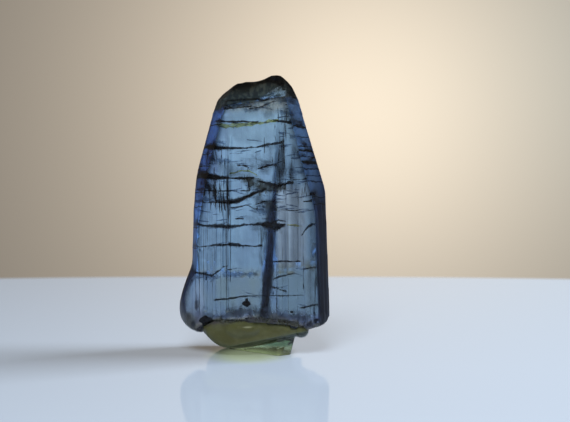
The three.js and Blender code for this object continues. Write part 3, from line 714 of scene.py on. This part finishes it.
filmLooks = {
    "crack": {"color": (0.003, 0.003, 0.004, 1), "second": (0.011, 0.012, 0.016, 1), "cover": 0.97,
              "strokes": (6.5, 0.5, 1.4), "blots": (1.3, 0.9, 0.9), "feather": 1.3, "patches": 1.0,
              "ends": 8.0, "from": -0.05, "to": 0.6},
    "fine": {"color": (0.016, 0.024, 0.045, 1), "second": (0.10, 0.14, 0.23, 1), "cover": 0.95,
             "seeThrough": 1.0, "ior": 1.0,
             "strokes": (6.5, 0.5, 1.4), "blots": (0.9, 0.9, 0.9), "feather": 1.4, "patches": 1.2,
             "ends": 6.0, "from": -0.15, "to": 0.6},
    "umber": {"color": (0.030, 0.020, 0.012, 1), "second": (0.13, 0.10, 0.065, 1), "cover": 0.95,
              "seeThrough": 1.0, "ior": 1.0,
              "strokes": (3.0, 0.5, 1.2), "blots": (0.9, 0.9, 1.1), "feather": 1.8, "patches": 1.2,
              "ends": 3.0, "from": -0.2, "to": 0.8},
    "murk": {"color": (0.38, 0.33, 0.32, 1), "second": (0.70, 0.67, 0.69, 1), "cover": 0.95,
             "seeThrough": 1.0, "ior": 1.0,
             "strokes": (5.5, 0.5, 0.25), "blots": (0.9, 0.9, 0.4), "feather": 2.4, "patches": 1.0,
             "ends": 5.0, "from": -0.2, "to": 0.8},
    "patch": {"color": (0.004, 0.004, 0.005, 1), "second": (0.018, 0.016, 0.015, 1), "cover": 0.97,
              "strokes": (4.5, 0.5, 2.0), "blots": (1.2, 0.9, 1.2), "feather": 1.2, "patches": 0.8,
              "ends": 4.0, "from": -0.15, "to": 0.55},
    "fringe": {"color": (0.005, 0.005, 0.008, 1), "second": (0.020, 0.018, 0.018, 1), "cover": 0.85,
               "strokes": (3.4, 0.5, 0.25), "blots": (0.9, 0.9, 0.9), "feather": 2.4, "patches": 1.4,
               "ends": 6.0, "from": 0.35, "to": 1.3, "hangs": True},
    "iron": {"color": (0.055, 0.036, 0.012, 1), "second": (0.80, 0.62, 0.10, 1), "cover": 0.95,
             "seeThrough": 1.0, "ior": 1.0,
             "strokes": (3.5, 0.5, 0.8), "blots": (1.6, 1.2, 1.6), "feather": 1.4, "patches": 0.8,
             "ends": 8.0, "from": -0.1, "to": 0.4},
    "band": {"color": (0.007, 0.008, 0.012, 1), "second": (0.018, 0.020, 0.028, 1), "cover": 0.54,
             "strokes": (6.5, 0.5, 0.20), "blots": (0.9, 0.9, 0.35), "feather": 4.2, "patches": 1.2,
             "ends": 5.0, "from": 0.1, "to": 1.0},
    "needle": {"color": (0.003, 0.004, 0.006, 1), "second": (0.010, 0.011, 0.018, 1), "cover": 0.92,
               "strokes": (8.0, 0.5, 0.5), "blots": (1.5, 1.5, 0.5), "feather": 1.5, "patches": 0.7,
               "ends": 4.0, "from": -0.1, "to": 0.6},
    "stria": {"color": (0.012, 0.018, 0.036, 1), "second": (0.03, 0.045, 0.08, 1), "cover": 0.72,
              "strokes": (4.0, 0.5, 0.22), "blots": (1.5, 1.5, 0.3), "feather": 1.4, "patches": 1.0,
              "ends": 6.0, "from": 0.0, "to": 0.7},
    "veil": {"color": (0.30, 0.40, 0.50, 1), "second": (0.10, 0.13, 0.18, 1), "cover": 0.5,
             "strokes": (2.0, 0.7, 2.6), "blots": (1.3, 1.3, 1.3), "feather": 1.6, "patches": 1.0,
             "ends": 3.0, "from": 0.1, "to": 0.8},
    "paintedShade": {"color": (0.014, 0.012, 0.024, 1), "second": (0.036, 0.033, 0.052, 1), "cover": 0.66,
              "strokes": (2.8, 0.6, 0.55), "blots": (0.7, 0.7, 0.5), "feather": 2.2, "patches": 1.3,
              "ends": 6.0, "from": 0.1, "to": 1.3},
    "feather": {"color": (0.03, 0.05, 0.09, 1), "second": (0.18, 0.24, 0.34, 1), "cover": 0.85,
                "seeThrough": 1.0, "ior": 1.0,
                "strokes": (2.4, 0.6, 2.6), "blots": (1.4, 0.9, 1.6), "feather": 2.6, "patches": 1.8,
                "ends": 3.0, "from": 0.0, "to": 0.9},
    "mist": {"color": (0.20, 0.20, 0.25, 1), "second": (0.42, 0.42, 0.48, 1), "cover": 0.85,
             "seeThrough": 1.0, "ior": 1.0,
             "strokes": (3.2, 0.6, 0.5), "blots": (0.9, 0.7, 0.7), "feather": 2.2, "patches": 1.2,
             "ends": 6.0, "from": -0.1, "to": 1.1},
    "skirt": {"color": (0.058, 0.061, 0.042, 1), "second": (0.042, 0.042, 0.046, 1), "cover": 0.92,
              "strokes": (2.4, 0.6, 0.9), "blots": (0.9, 0.7, 0.9), "feather": 1.6, "patches": 1.2,
              "ends": 5.0, "from": -0.1, "to": 1.1, "hangs": True},
    "brown": {"color": (0.09, 0.07, 0.045, 1), "second": (0.26, 0.21, 0.15, 1), "cover": 0.85,
              "seeThrough": 1.0, "ior": 1.0,
              "strokes": (2.6, 0.6, 1.1), "blots": (1.0, 0.8, 0.8), "feather": 1.9, "patches": 1.6,
              "ends": 3.0, "from": 0.05, "to": 1.1},
    "haze": {"color": (0.030, 0.028, 0.036, 1), "second": (0.05, 0.045, 0.06, 1), "cover": 0.42,
             "strokes": (1.4, 0.6, 0.8), "blots": (0.8, 0.8, 0.5), "feather": 1.6, "patches": 1.4,
             "ends": 3.0, "from": 0.1, "to": 1.4},
}

# growth bands and needles: depth in mm, then points x, z and width as seen
darkBands = [
    (1.6, [(3.9, 30.3, 0.7), (3.7, 27.5, 1.1), (3.45, 24.0, 1.4), (3.0, 20.6, 1.4)]),
    (-1.5, [(3.3, 26.6, 0.6), (3.35, 24.2, 1.1), (3.3, 22.0, 1.3), (3.2, 20.4, 0.9)]),
    (-1.1, [(3.6, 27.4, 0.5), (3.4, 24.6, 1.0), (3.3, 22.2, 1.2), (3.2, 20.6, 0.8)]),
    (1.9, [(3.1, 21.0, 1.0), (2.5, 18.5, 1.1), (2.15, 15.8, 1.3), (1.9, 11.8, 1.0), (1.8, 8.0, 1.0),
           (1.7, 4.4, 0.9)]),
    (-1.8, [(1.3, 16.2, 0.6), (0.9, 14.8, 1.1), (0.85, 12.8, 1.0), (0.95, 10.8, 0.5)]),
    (2.2, [(0.2, 20.8, 0.3), (-0.6, 20.3, 0.7), (-0.9, 18.6, 0.4)]),
    (2.0, [(4.9, 26.5, 0.4), (4.6, 23.0, 0.6), (4.7, 19.5, 0.4)]),
]
hazes = [
    (0.5, [(0.2, 19.6, 3.0), (2.0, 18.0, 4.0), (1.6, 15.0, 4.0), (2.2, 13.6, 2.0)]),
    (0.2, [(-0.6, 24.6, 1.2), (0.4, 23.9, 2.6), (1.6, 23.4, 2.2)]),
    (-2.0, [(-5.0, 24.6, 2.6), (-4.2, 23.4, 5.0), (-3.2, 22.4, 6.5), (-2.9, 21.2, 5.0)]),
    (-1.0, [(-4.4, 23.8, 3.0), (-3.4, 22.8, 5.0), (-2.8, 22.0, 6.0), (-2.6, 21.4, 4.0)]),
    (-1.4, [(0.2, 23.6, 2.0), (-0.2, 22.4, 4.0), (0.0, 21.2, 4.6), (0.6, 20.0, 3.0)]),
    (-1.8, [(-1.0, 21.6, 1.6), (0.4, 20.0, 3.4), (1.2, 18.8, 4.2), (1.4, 17.4, 3.0)]),
    (0.0, [(3.6, 24.6, 1.2), (4.2, 22.8, 1.8), (4.3, 21.2, 1.2)]),
    (0.6, [(-5.9, 23.4, 1.6), (-5.2, 20.6, 2.6), (-5.0, 18.6, 2.6)]),
    (1.0, [(1.6, 33.4, 1.0), (1.4, 32.6, 3.0)]),
    (-1.6, [(0.6, 25.0, 2.6), (0.4, 24.0, 4.6), (0.6, 22.9, 4.6), (0.8, 22.0, 3.0)]),
    (-1.0, [(2.3, 30.2, 1.4), (2.1, 29.3, 2.2), (1.9, 28.5, 1.6)]),
    (-1.2, [(-4.4, 20.6, 2.0), (-4.2, 19.0, 2.6), (-4.2, 17.6, 1.6)]),
    (-1.8, [(0.8, 19.8, 1.6), (0.4, 18.6, 2.8), (0.2, 17.4, 1.8)]),
    (-1.4, [(2.0, 25.8, 1.4), (1.9, 24.4, 2.2), (2.1, 22.8, 1.8)]),
    (-1.6, [(-0.6, 17.2, 1.4), (0.2, 16.2, 2.6), (0.4, 15.0, 1.6)]),
    (-1.0, [(6.7, 11.6, 1.2), (6.9, 8.6, 1.8), (6.9, 5.0, 1.4)]),
    (-1.2, [(0.6, 19.2, 0.6), (1.0, 18.2, 1.2), (1.1, 17.2, 1.0)]),
    (-1.5, [(1.6, 30.4, 1.8), (1.8, 29.6, 2.6), (1.6, 28.7, 2.0)]),
    (-2.0, [(-0.6, 24.2, 3.0), (-1.4, 23.4, 4.4), (-1.6, 22.4, 3.4)]),
    (-1.9, [(1.6, 24.0, 2.4), (1.4, 22.8, 3.0), (1.4, 21.8, 1.8)]),
]
brownPatches = [
    (-0.9, [(-1.5, 20.9, 0.8), (-0.3, 21.6, 2.6), (0.7, 20.6, 2.2), (1.6, 20.0, 1.4)]),
    (-0.7, [(0.4, 21.3, 1.6), (2.0, 20.6, 3.8), (3.6, 20.2, 2.6)]),
    (-0.4, [(0.2, 18.6, 1.2), (1.8, 18.8, 3.2), (2.8, 17.4, 1.6)]),
]
# solid dark patches in the cracks: front depth and reach in mm, then points x, z and height as seen
darkPatches = [
    (-3.0, 0.3, [(-7.3, 22.0, 0.85), (-6.4, 21.85, 0.85), (-5.5, 21.7, 0.72), (-4.6, 21.55, 0.50), (-3.9, 21.5, 0.3),
                 (-3.2, 21.45, 0.1)]),
    (-2.7, 0.4, [(0.8, 15.6, 0.3), (1.9, 15.5, 0.85), (2.8, 15.4, 0.8), (3.8, 15.55, 0.15)]),
    (-2.8, 0.3, [(-6.2, 25.35, 0.3), (-5.2, 25.25, 0.4), (-4.3, 25.2, 0.35), (-3.3, 25.2, 0.2)]),
    (-2.8, 0.3, [(-3.5, 18.4, 0.2), (-2.4, 18.35, 0.35), (-1.4, 18.7, 0.35), (-0.2, 19.4, 0.3), (0.7, 19.75, 0.2)]),
    (-2.8, 0.3, [(5.9, 23.3, 0.4), (6.7, 23.4, 0.5), (7.4, 23.5, 0.35)]),
]
# brown glassy patches in the middle, and the smoky edges of the long dark band
umberPatches = [
    (-2.7, 0.4, [(0.1, 20.35, 0.7), (0.9, 20.3, 1.25), (1.9, 20.2, 1.3), (3.0, 20.15, 1.1), (4.2, 20.3, 0.3)]),
    (-2.6, 0.4, [(-1.0, 21.6, 0.3), (-0.5, 21.0, 1.0), (0.1, 20.5, 0.6)]),
]
murkyBands = [
    (-2.6, [(7.15, 13.8, 0.3), (7.2, 12.9, 0.8), (7.25, 12.0, 0.4)]),
    (-2.3, [(2.0, 19.0, 0.9), (1.75, 17.6, 1.7), (1.7, 16.2, 1.6), (1.8, 15.2, 1.4)]),
    (-2.3, [(2.3, 15.4, 1.2), (2.05, 13.4, 1.9), (1.75, 10.6, 2.0), (1.6, 7.6, 2.0), (1.5, 4.8, 1.7)]),
]
needles = [
    (-2.6, [(-4.75, 20.9, 0.10), (-4.62, 19.6, 0.30), (-4.55, 18.5, 0.08)]),
    (-2.7, [(-4.05, 20.8, 0.08), (-3.9, 18.7, 0.34), (-3.8, 16.9, 0.05)]),
    (-2.7, [(-4.3, 20.3, 0.06), (-4.15, 18.3, 0.20), (-4.1, 17.3, 0.05)]),
    (-2.5, [(-3.3, 20.9, 0.10), (-3.2, 18.6, 0.50), (-3.1, 16.0, 0.04)]),
    (-2.4, [(-4.9, 21.0, 0.20), (-4.75, 19.8, 0.60), (-4.6, 18.6, 0.10)]),
    (-2.4, [(-3.7, 20.0, 0.20), (-3.6, 18.9, 0.50), (-3.5, 17.6, 0.08)]),
    (-2.3, [(-5.9, 21.4, 0.6), (-5.5, 20.8, 1.0), (-5.2, 20.0, 0.4)]),
    (-2.6, [(-3.05, 21.6, 0.05), (-2.85, 19.0, 0.16), (-2.9, 17.0, 0.05)]),
    (-2.8, [(-5.6, 21.3, 0.06), (-5.4, 20.3, 0.22), (-5.3, 19.4, 0.05)]),
    (-2.4, [(-0.78, 21.7, 0.12), (-0.60, 20.9, 0.55), (-0.48, 20.0, 0.10)]),
    (-2.4, [(0.3, 25.2, 0.04), (0.32, 23.0, 0.06), (0.3, 21.5, 0.04)]),
    (-2.6, [(1.3, 26.6, 0.05), (1.28, 25.6, 0.12), (1.3, 24.6, 0.05)]),
]
feathers = [
    (-2.4, 0.3, [(-2.9, 30.2, 0.5), (-1.6, 30.35, 0.7), (-0.2, 30.2, 0.5)]),
    (-2.4, 0.3, [(-1.2, 29.75, 0.3), (0.2, 29.95, 0.55), (1.4, 30.4, 0.5), (2.3, 30.9, 0.25)]),
    (-2.2, 0.3, [(0.6, 31.3, 0.4), (1.8, 31.6, 0.6), (2.8, 31.9, 0.4)]),
    (-2.2, 0.3, [(2.2, 31.2, 0.5), (3.2, 31.0, 0.9), (4.1, 30.9, 0.6)]),
    (-2.6, 0.3, [(3.0, 29.7, 0.5), (3.9, 29.5, 0.7), (5.0, 29.3, 0.5)]),
    (-2.6, 0.3, [(4.2, 26.6, 0.5), (5.2, 26.5, 0.6), (6.3, 26.3, 0.4)]),
    (-2.6, 0.3, [(4.6, 24.3, 0.5), (5.7, 24.2, 0.7), (6.9, 24.3, 0.5)]),
    (-2.6, 0.3, [(4.2, 22.4, 0.5), (5.6, 22.2, 0.8), (7.0, 22.3, 0.6)]),
    (-2.6, 0.3, [(-6.2, 26.1, 0.6), (-5.2, 25.9, 0.9), (-4.2, 25.8, 0.7), (-3.2, 25.7, 0.4)]),
    (-2.6, 0.3, [(-6.4, 18.8, 0.4), (-5.4, 18.8, 0.7), (-4.4, 18.9, 0.8), (-3.0, 19.0, 0.4)]),
    (-2.4, 0.3, [(0.2, 17.4, 0.6), (1.2, 17.2, 1.1), (2.4, 17.4, 0.7)]),
    (-2.8, 0.3, [(-7.0, 9.3, 0.5), (-6.0, 9.3, 1.0), (-4.9, 9.2, 0.9), (-4.0, 9.3, 0.4)]),
    (-2.0, 0.3, [(-4.0, 9.5, 0.5), (-2.4, 9.4, 0.8), (-0.6, 9.5, 0.8), (0.8, 9.6, 0.5)]),
    (-2.6, 0.3, [(-6.6, 24.3, 0.5), (-5.4, 24.0, 0.8), (-4.0, 23.6, 0.6), (-2.6, 23.4, 0.3)]),
]
veils = [
    (-1.2, 1.5, [(0.8, 18.4, 0.6), (2.2, 18.2, 0.8), (3.6, 18.6, 0.5)]),
]
# painted shade: dark smoky films at the root, where the crystal sits on the lump
paintedRootShade = [
    (-2.9, 1.0, [(-6.9, 4.0, 1.6), (-4.6, 4.4, 1.5), (-2.4, 4.6, 1.4), (-0.9, 4.9, 1.6), (0.8, 4.7, 1.0),
                 (3.2, 4.6, 1.3), (5.4, 4.3, 1.3), (7.4, 3.9, 1.2)]),
    (-2.2, 1.0, [(-3.8, 4.7, 1.3), (-1.2, 5.1, 1.8), (0.8, 4.8, 1.4)]),
]
rootMist = [
    (-3.2, 0.4, [(-5.4, 3.9, 1.0), (-3.6, 4.4, 1.2), (-1.0, 4.9, 1.2), (1.6, 4.7, 1.5), (4.4, 4.3, 1.6),
                 (7.2, 3.9, 1.5)]),
]
# the lump's fuzzy upper edge on the crystal's front: x, z and height in mm
lumpEdges = [
    [(-5.0, 3.9, 0.7), (-4.0, 4.0, 0.9), (-2.6, 3.9, 0.9), (-1.1, 4.1, 0.9), (1.25, 4.1, 0.95), (3.9, 3.9, 0.9),
     (6.3, 3.4, 0.8)],
]
specks = [  # graphite flakes just under the front: x and z, and their size in mm
    ((-0.92, 6.4), (0.50, 0.14, 0.36)),
    ((-0.88, 6.8), (0.18, 0.10, 0.30)),
    ((-5.85, 4.25), (0.70, 0.20, 0.58)),
    ((-5.7, 3.6), (0.44, 0.16, 0.40)),
    ((4.6, 5.45), (0.20, 0.10, 0.12)),
    ((6.0, 8.6), (0.06, 0.06, 0.36)),
    ((7.05, 19.75), (0.34, 0.14, 0.24)),
]


# the strongest of the long thin lines up the prism: x, and the heights between which they run, in mm
striae = {
    "left": [(-7.05, 5.5, 19.5), (-6.65, 4.8, 15.0), (-6.15, 5.0, 20.0), (-5.65, 4.6, 19.0), (-5.1, 4.6, 22.0),
             (-4.6, 4.4, 21.0), (-4.05, 4.6, 15.5), (-3.45, 4.8, 16.0), (-2.78, 8.6, 24.8)],
    "right": [(2.75, 4.2, 14.5), (3.5, 4.4, 13.5), (4.2, 5.0, 18.5), (5.3, 4.2, 19.0), (6.0, 8.0, 15.5),
              (6.9, 4.5, 17.0), (7.35, 4.5, 15.0)],
    "depth": -2.75,
    "width": (0.05, 0.13),
}


def longStriae():
    draw = random.Random(12)
    rows = []
    for x, low, high in striae["left"] + striae["right"]:
        thick = draw.uniform(*striae["width"])
        rows.append((striae["depth"], [(x, high, thick * 0.5), (x + 0.02, (low + high) / 2, thick), (x, low, thick * 0.6)]))
    return rows


# bundles of hair-fine upright cracks: how many, then x and z ranges in mm
hairBundles = [
    (28, (-7.0, -3.0), (19.4, 22.4)),
    (26, (-5.4, -2.8), (17.0, 21.4)),
    (22, (-6.4, -3.4), (23.4, 25.6)),
    (34, (2.5, 4.2), (19.4, 29.6)),
    (10, (4.2, 6.6), (19.0, 25.4)),
    (5, (-1.6, 2.4), (19.2, 24.0)),
    (26, (1.0, 2.9), (5.0, 15.4)),
]


def uprightHairs(seed):
    draw = random.Random(seed)
    rows = []
    for count, (left, right), (low, high) in hairBundles:
        for _ in range(count):
            x, z = draw.uniform(left, right), draw.uniform(low, high)
            half, lean, thick = draw.uniform(0.25, 1.1), draw.uniform(-0.06, 0.06), draw.uniform(0.05, 0.15)
            rows.append((draw.uniform(-2.8, -1.6), [(x - lean, z + half, 0.03), (x, z, thick), (x + lean, z - half, 0.03)]))
    return rows


def hairlines(count, seed, box):
    draw = random.Random(seed)
    (left, right), (low, high) = box
    lines = []
    for _ in range(count):
        x, z = draw.uniform(left, right), draw.uniform(low, high)
        half, lift = draw.uniform(0.3, 1.0), draw.uniform(-0.15, 0.15)
        lines.append((draw.uniform(-2.9, -1.0), draw.uniform(0.8, 2.0),
                      [(x - half, z - lift, 0.03), (x, z, draw.uniform(0.06, 0.14)), (x + half, z + lift, 0.03)]))
    return lines


# thin side cracks that leave the main ones at a low angle
def wisps(rows, seed):
    draw = random.Random(seed)
    lines = []
    for front, reach, path in rows:
        length = path[-1][0] - path[0][0]
        for _ in range(1 + int(length / 3)):
            x, z, _ = alongPath(path, draw.uniform(0.1, 0.9))
            run, lean = draw.uniform(0.7, 1.9) * draw.choice((-1, 1)), draw.uniform(-0.35, 0.35)
            bend = draw.uniform(-0.12, 0.12)
            ends = [(x, z, 0.10), (x + run * 0.5, z + run * lean * 0.5 + bend, 0.08), (x + run, z + run * lean, 0.03)]
            lines.append((front + 0.2, reach * 0.5, ends if run > 0 else ends[::-1]))
    return lines


def makeInside(look, skin):
    materials = {name: filmMaterial(name + "Film", value) for name, value in filmLooks.items()}
    fine = hairlines(34, 3, ((3.4, 7.4), (17.0, 30.2))) + hairlines(22, 8, ((-6.6, -1.0), (15.0, 23.5)))
    fine += hairlines(24, 21, ((-2.6, 4.0), (16.0, 26.5))) + hairlines(10, 33, ((-0.8, 4.6), (16.6, 21.6)))
    fine += wisps(darkCracks, 5)
    for name, kind, rows in (("darkCracks", "crack", darkCracks), ("hairlineCracks", "fine", fine),
                             ("darkPatches", "patch", darkPatches), ("umberPatches", "umber", umberPatches),
                             ("darkFeathers", "feather", feathers),
                             ("stainedCracks", "iron", stainedCracks), ("paleVeils", "veil", veils),
                             ("paintedRootShade", "paintedShade", paintedRootShade), ("rootMist", "mist", rootMist)):
        parts = [addCrack(look, name, front, reach, path, seed * 3.7)
                 for seed, (front, reach, path) in enumerate(rows)]
        joinFilms(look, name, parts, materials[kind], skin)
    fringes = [addFringe(look, "crackFringes", front, path, seed * 1.9)
               for seed, (front, _, path) in enumerate(darkCracks)]
    joinFilms(look, "crackFringes", fringes, materials["fringe"], skin)
    hairLook = dict(look, columns=12, rows=3)
    hairs = [addBand(hairLook, "uprightHairs", depth, path, seed * 1.3)
             for seed, (depth, path) in enumerate(uprightHairs(17))]
    joinFilms(look, "uprightHairs", hairs, materials["needle"], skin)
    for name, kind, rows in (("growthBands", "band", darkBands), ("needles", "needle", needles),
                             ("longStriae", "stria", longStriae()), ("smokyHaze", "haze", hazes),
                             ("murkyBands", "murk", murkyBands),
                             ("brownPatches", "brown", brownPatches)):
        parts = [addBand(look, name, depth, path, seed * 2.9) for seed, (depth, path) in enumerate(rows)]
        joinFilms(look, name, parts, materials[kind], skin)
    skirts = [addSkirt(look, "lumpVeil", path, seed * 4.1, skin) for seed, path in enumerate(lumpEdges)]
    joinFilms(look, "lumpVeil", skirts, materials["skirt"], None)


def makeSpecks(skin):
    parts = []
    for (x, z), size in specks:
        _, front, _, _ = skin.ray_cast(Vector((x, -20, z)) * mm, Vector((0, 1, 0)))
        place = (x, front.y / mm + size[1] * 1.5 + 0.05, z)
        bpy.ops.object.select_all(action="DESELECT")
        bpy.ops.mesh.primitive_ico_sphere_add(subdivisions=3, radius=1)
        speck = bpy.context.object
        for vertex in speck.data.vertices:
            spike = 1 + 0.45 * noise.noise(vertex.co * 1.6 + Vector(place))
            vertex.co = (Vector(place) + Vector([a * b for a, b in zip(vertex.co * spike, size)])) * mm
        parts.append(speck)
    for part in parts:
        part.select_set(True)
    bpy.context.view_layer.objects.active = parts[0]
    bpy.ops.object.join()
    piece = parts[0]
    piece.name = "graphiteFlakes"
    bpy.ops.object.shade_smooth()
    material, tree, shader = newMaterial("graphite")
    _, at = inMillimetres(tree)
    color = tinted(tree, grain(tree, at, (3, 3, 3), 3.0), (0.002, 0.002, 0.004, 1), (0.007, 0.007, 0.011, 1))
    tree.links.new(color, shader.inputs["Base Color"])
    shader.inputs["Roughness"].default_value = 0.7
    shader.inputs["Specular IOR Level"].default_value = 0.15
    piece.data.materials.append(material)
    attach(piece, "root")


# the olive lump under it

baseLook = {
    "voxel": 0.10,                       # mm
    "relax": 5,
    "olive": (0.108, 0.112, 0.044, 1),
    "pale": (0.145, 0.155, 0.072, 1),
    "rimShade": (0.085, 0.080, 0.086, 1),     # painted shade where it meets the crystal's dark root
    "glint": (0.42, 0.44, 0.30, 1),      # a painted highlight: a small pale spot on its front, at x and z
    "glintAt": (-0.8, 3.62),
    "glintSize": (0.75, 0.13),
    "green": (0.54, 0.71, 0.42, 1),      # the clear foot
    "greenTop": (0.07, 0.15, 0.085, 1),
    "topFrom": (0.8, 1.3),               # mm: heights between which it darkens
    "clearBelow": (0.95, 1.35),          # mm: heights between which it clears, under the left of the front
    "clearLean": (-0.20, 0.16),          # and how they change for each mm of x and of y
    "ior": 1.52,
}


def chalcedony(look):
    material, tree, shader = newMaterial("oliveChalcedony")
    _, at = inMillimetres(tree)
    x, y, z = addNode(tree, "ShaderNodeSeparateXYZ", {0: at}).outputs
    cloudy = grain(tree, at, (0.6, 0.6, 0.9), 4.0)
    streaky = grain(tree, at, (1.1, 0.8, 0.9), 5.0)
    low, high = look["clearBelow"]
    lean, fall = look["clearLean"]
    level = maths(tree, "MULTIPLY_ADD", y, fall, maths(tree, "MULTIPLY_ADD", x, lean, z))
    clear = ramp(tree, level, high, low)
    color = tinted(tree, ramp(tree, cloudy, 0.40, 0.65), look["olive"], look["pale"])
    green = tinted(tree, ramp(tree, z, *look["topFrom"]), look["green"], look["greenTop"])
    color = tinted(tree, clear, color, green)
    higher = ramp(tree, x, -4.5, -2.0, 0.0, 0.75)
    # painted shade along its top, where it meets the crystal
    rimShade = ramp(tree, maths(tree, "MULTIPLY_ADD", streaky, 1.6, maths(tree, "SUBTRACT", z, higher)), 4.1, 5.1)
    color = tinted(tree, rimShade, color, look["rimShade"])
    # a painted highlight on its front
    (glintX, glintZ), (wide, tall) = look["glintAt"], look["glintSize"]
    apart = addNode(tree, "ShaderNodeVectorMath", {0: stretched(tree, at, (1 / wide, 0, 1 / tall)),
                                                   1: (glintX / wide, 0, glintZ / tall)}, operation="DISTANCE")
    glint = maths(tree, "MULTIPLY", ramp(tree, apart.outputs["Value"], 1.0, 0.2), ramp(tree, y, -2.0, -3.0))
    color = tinted(tree, glint, color, look["glint"])
    tree.links.new(color, shader.inputs["Base Color"])
    tree.links.new(ramp(tree, clear, 0.0, 1.0, 0.45, 1.0), shader.inputs["Transmission Weight"])
    tree.links.new(ramp(tree, clear, 0.0, 1.0, 0.42, 0.10), shader.inputs["Roughness"])
    shader.inputs["Subsurface Weight"].default_value = 0.5
    shader.inputs["Subsurface Radius"].default_value = (1.0, 1.0, 0.4)
    shader.inputs["Subsurface Scale"].default_value = 1.6 * mm
    shader.inputs["IOR"].default_value = look["ior"]
    bump = addNode(tree, "ShaderNodeBump", {"Height": cloudy, "Strength": 0.6, "Distance": 0.25 * mm})
    tree.links.new(bump.outputs["Normal"], shader.inputs["Normal"])
    return material


def makeBase(look):
    base = copyOfNode("base", "oliveLump")
    evenOut(base, look["voxel"])
    applyModifier(base, "SMOOTH", "relax", factor=0.5, iterations=look["relax"])
    bpy.ops.object.shade_smooth()
    base.data.materials.append(chalcedony(look))
    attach(base, "root")
    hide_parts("base")
    return base


makeCamera(cameraView)
makeStudio(studioLook)
makeLamps(lampLook)
makeFloor(floorLook)
print("camera, light and floor are in place")
crystal = makeCrystal(crystalLook)
base = makeBase(baseLook)
print("crystal and lump are made")
makeInside(crackLook, crystal)
makeSpecks(crystal)
print("cracks, needles and flakes are made")
